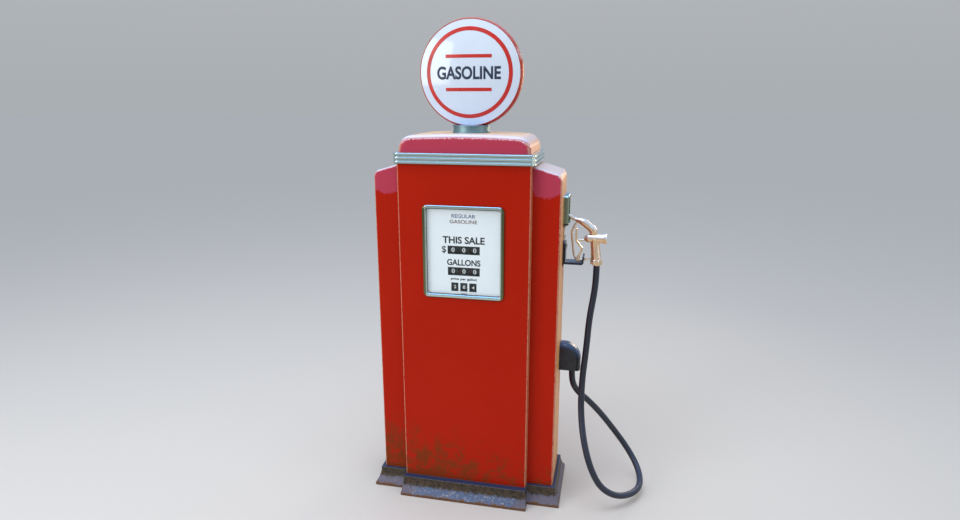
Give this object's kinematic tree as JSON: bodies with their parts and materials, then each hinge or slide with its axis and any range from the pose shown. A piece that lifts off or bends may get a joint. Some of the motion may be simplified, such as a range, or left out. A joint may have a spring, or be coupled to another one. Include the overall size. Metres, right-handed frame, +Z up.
{
  "type": "computing gas pump",
  "caption": "Free-standing mid-century fuel dispenser: sheet-steel cabinet on a cast plinth, price computer behind a glazed dial, lit globe on top, hose and nozzle on its side.",
  "frame": {"origin": "on the floor, under the middle of the cabinet and of the plinth", "axes": "+Z up, the dial faces -Y, the nozzle hangs on the +X side"},
  "size_m": [1.0994, 0.4026, 1.8644],
  "materials": {
    "red_paint": "gloss enamel, worn and dirty near the foot",
    "plinth_iron": "worn, rusty, blue-grey paint left on the top edge",
    "bright_trim": "polished, lightly tarnished",
    "globe_glass": "opal white, gloss, printed ring and word",
    "lamp_glass": "clear",
    "clear_glass": "clear, polished",
    "dial_enamel": "pale blue-white enamel, black print",
    "black_enamel": "satin black",
    "drum_black": "matt black with white figures",
    "rubber": "smooth, slightly dusty hose rubber",
    "nozzle_metal": "plated, warm, worn",
    "steel": "plain steel",
    "machine_grey": "grey machinery enamel",
    "brass": "turned brass",
    "galvanised": "dull zinc"
  },
  "bodies": {
    "cabinet": {"base_plinth": "plinth_iron", "frame_posts": "machine_grey", "frame_shelves": "machine_grey", "front_panel": "red_paint", "left_wing": "red_paint", "right_wing": "red_paint", "door_hinge_pins": "steel", "trim_band": "bright_trim", "top_cap": "red_paint", "globe_collar": "bright_trim", "globe_rim": "red_paint", "globe_lens_front": "globe_glass", "globe_lens_rear": "globe_glass", "globe_lamp": "lamp_glass", "lamp_socket": "galvanised", "dial_bezel": "bright_trim", "bezel_gasket": "rubber", "dial_glass": "clear_glass", "dial_face": "dial_enamel", "window_mask": "black_enamel", "computer_frame": "galvanised", "drum_shafts": "steel", "dial_lamp": "lamp_glass", "motor": "machine_grey", "drive_belt": "rubber", "pump_unit": "machine_grey", "air_separator": "machine_grey", "meter": "brass", "suction_pipe": "steel", "discharge_pipe": "steel", "junction_box": "galvanised", "conduit": "galvanised", "hose_hood": "black_enamel", "hose": "rubber", "outlet_elbow": "steel", "nozzle_receptacle": "bright_trim", "wear_plate": "bright_trim", "hook_plate": "black_enamel", "side_screws": "steel"},
    "rear_door": {"rear_door": "red_paint"},
    "door_lock": {"door_lock": "steel"},
    "motor_pulley": {"motor_pulley": "machine_grey"},
    "pump_pulley": {"pump_pulley": "machine_grey"},
    "meter_shaft": {"meter_shaft": "steel"},
    "nozzle": {"nozzle_body": "nozzle_metal", "nozzle_spout": "nozzle_metal", "nozzle_guard": "nozzle_metal", "hose_swivel": "nozzle_metal"},
    "nozzle_lever": {"nozzle_lever": "nozzle_metal"},
    "valve_stem": {"valve_stem": "nozzle_metal"},
    "hook": {"hook": "black_enamel"},
    "sale_drum_dollars": {"sale_drum_dollars": "drum_black"},
    "sale_drum_dimes": {"sale_drum_dimes": "drum_black"},
    "sale_drum_cents": {"sale_drum_cents": "drum_black"},
    "gallons_drum_tens": {"gallons_drum_tens": "drum_black"},
    "gallons_drum_units": {"gallons_drum_units": "drum_black"},
    "gallons_drum_tenths": {"gallons_drum_tenths": "drum_black"},
    "price_wheel_dimes": {"price_wheel_dimes": "drum_black"},
    "price_wheel_cents": {"price_wheel_cents": "drum_black"},
    "price_wheel_tenths": {"price_wheel_tenths": "drum_black"}
  },
  "joints": [
    {"name": "door_swing", "type": "hinge", "parent": "cabinet", "child": "rear_door", "pos_m": [-0.257, 0.1185, 0.7], "axis": [0, 0, 1], "range_deg": [0, 100]},
    {"name": "lock_turn", "type": "hinge", "parent": "rear_door", "child": "door_lock", "pos_m": [0.2, 0.146, 0.72], "axis": [0, -1, 0], "range_deg": [0, 90]},
    {"name": "motor_spin", "type": "hinge", "parent": "cabinet", "child": "motor_pulley", "pos_m": [0.105, -0.095, 0.225], "axis": [0, 1, 0], "continuous": true},
    {"name": "pump_spin", "type": "hinge", "parent": "cabinet", "child": "pump_pulley", "pos_m": [-0.105, -0.095, 0.235], "axis": [0, 1, 0], "continuous": true},
    {"name": "meter_spin", "type": "hinge", "parent": "cabinet", "child": "meter_shaft", "pos_m": [0.04, -0.01, 0.7], "axis": [0, 0, 1], "continuous": true},
    {"name": "nozzle_lift", "type": "slide", "parent": "cabinet", "child": "nozzle", "axis": [0, 0, 1], "range_m": [0, 0.045]},
    {"name": "hook_rise", "type": "slide", "parent": "cabinet", "child": "hook", "axis": [0, 0, 1], "range_m": [0, 0.0045]},
    {"name": "lever_squeeze", "type": "hinge", "parent": "nozzle", "child": "nozzle_lever", "pos_m": [0.412, 0.05, 0.984], "axis": [0, 1, 0], "range_deg": [0, 13], "stiffness_Nm_per_rad": 1.2, "springref_deg": -8.59},
    {"name": "stem_push", "type": "slide", "parent": "nozzle", "child": "valve_stem", "axis": [1, 0, 0], "range_m": [0, 0.0155]},
    {"name": "sale_drum_dollars_spin", "type": "hinge", "parent": "cabinet", "child": "sale_drum_dollars", "pos_m": [-0.0415, -0.0995, 1.033], "axis": [1, 0, 0], "continuous": true},
    {"name": "sale_drum_dimes_spin", "type": "hinge", "parent": "cabinet", "child": "sale_drum_dimes", "pos_m": [0, -0.0995, 1.033], "axis": [1, 0, 0], "continuous": true},
    {"name": "sale_drum_cents_spin", "type": "hinge", "parent": "cabinet", "child": "sale_drum_cents", "pos_m": [0.0415, -0.0995, 1.033], "axis": [1, 0, 0], "continuous": true},
    {"name": "gallons_drum_tens_spin", "type": "hinge", "parent": "cabinet", "child": "gallons_drum_tens", "pos_m": [-0.0415, -0.0995, 0.951], "axis": [1, 0, 0], "continuous": true},
    {"name": "gallons_drum_units_spin", "type": "hinge", "parent": "cabinet", "child": "gallons_drum_units", "pos_m": [0, -0.0995, 0.951], "axis": [1, 0, 0], "continuous": true},
    {"name": "gallons_drum_tenths_spin", "type": "hinge", "parent": "cabinet", "child": "gallons_drum_tenths", "pos_m": [0.0415, -0.0995, 0.951], "axis": [1, 0, 0], "continuous": true},
    {"name": "price_wheel_dimes_spin", "type": "hinge", "parent": "cabinet", "child": "price_wheel_dimes", "pos_m": [-0.035, -0.1075, 0.887], "axis": [1, 0, 0], "continuous": true},
    {"name": "price_wheel_cents_spin", "type": "hinge", "parent": "cabinet", "child": "price_wheel_cents", "pos_m": [0, -0.1075, 0.887], "axis": [1, 0, 0], "continuous": true},
    {"name": "price_wheel_tenths_spin", "type": "hinge", "parent": "cabinet", "child": "price_wheel_tenths", "pos_m": [0.035, -0.1075, 0.887], "axis": [1, 0, 0], "continuous": true}
  ],
  "couplings": [
    {"joint": "motor_spin", "follows": "pump_spin", "ratio": 2.678},
    {"joint": "hook_rise", "follows": "nozzle_lift", "ratio": 0.1},
    {"joint": "stem_push", "follows": "lever_squeeze", "m_per_rad": 0.0675},
    {"joint": "gallons_drum_tenths_spin", "follows": "meter_spin", "ratio": 1},
    {"joint": "gallons_drum_units_spin", "follows": "meter_spin", "ratio": 0.1},
    {"joint": "gallons_drum_tens_spin", "follows": "meter_spin", "ratio": 0.01},
    {"joint": "sale_drum_cents_spin", "follows": "meter_spin", "ratio": 2.84},
    {"joint": "sale_drum_dimes_spin", "follows": "meter_spin", "ratio": 0.284},
    {"joint": "sale_drum_dollars_spin", "follows": "meter_spin", "ratio": 0.0284}
  ]
}
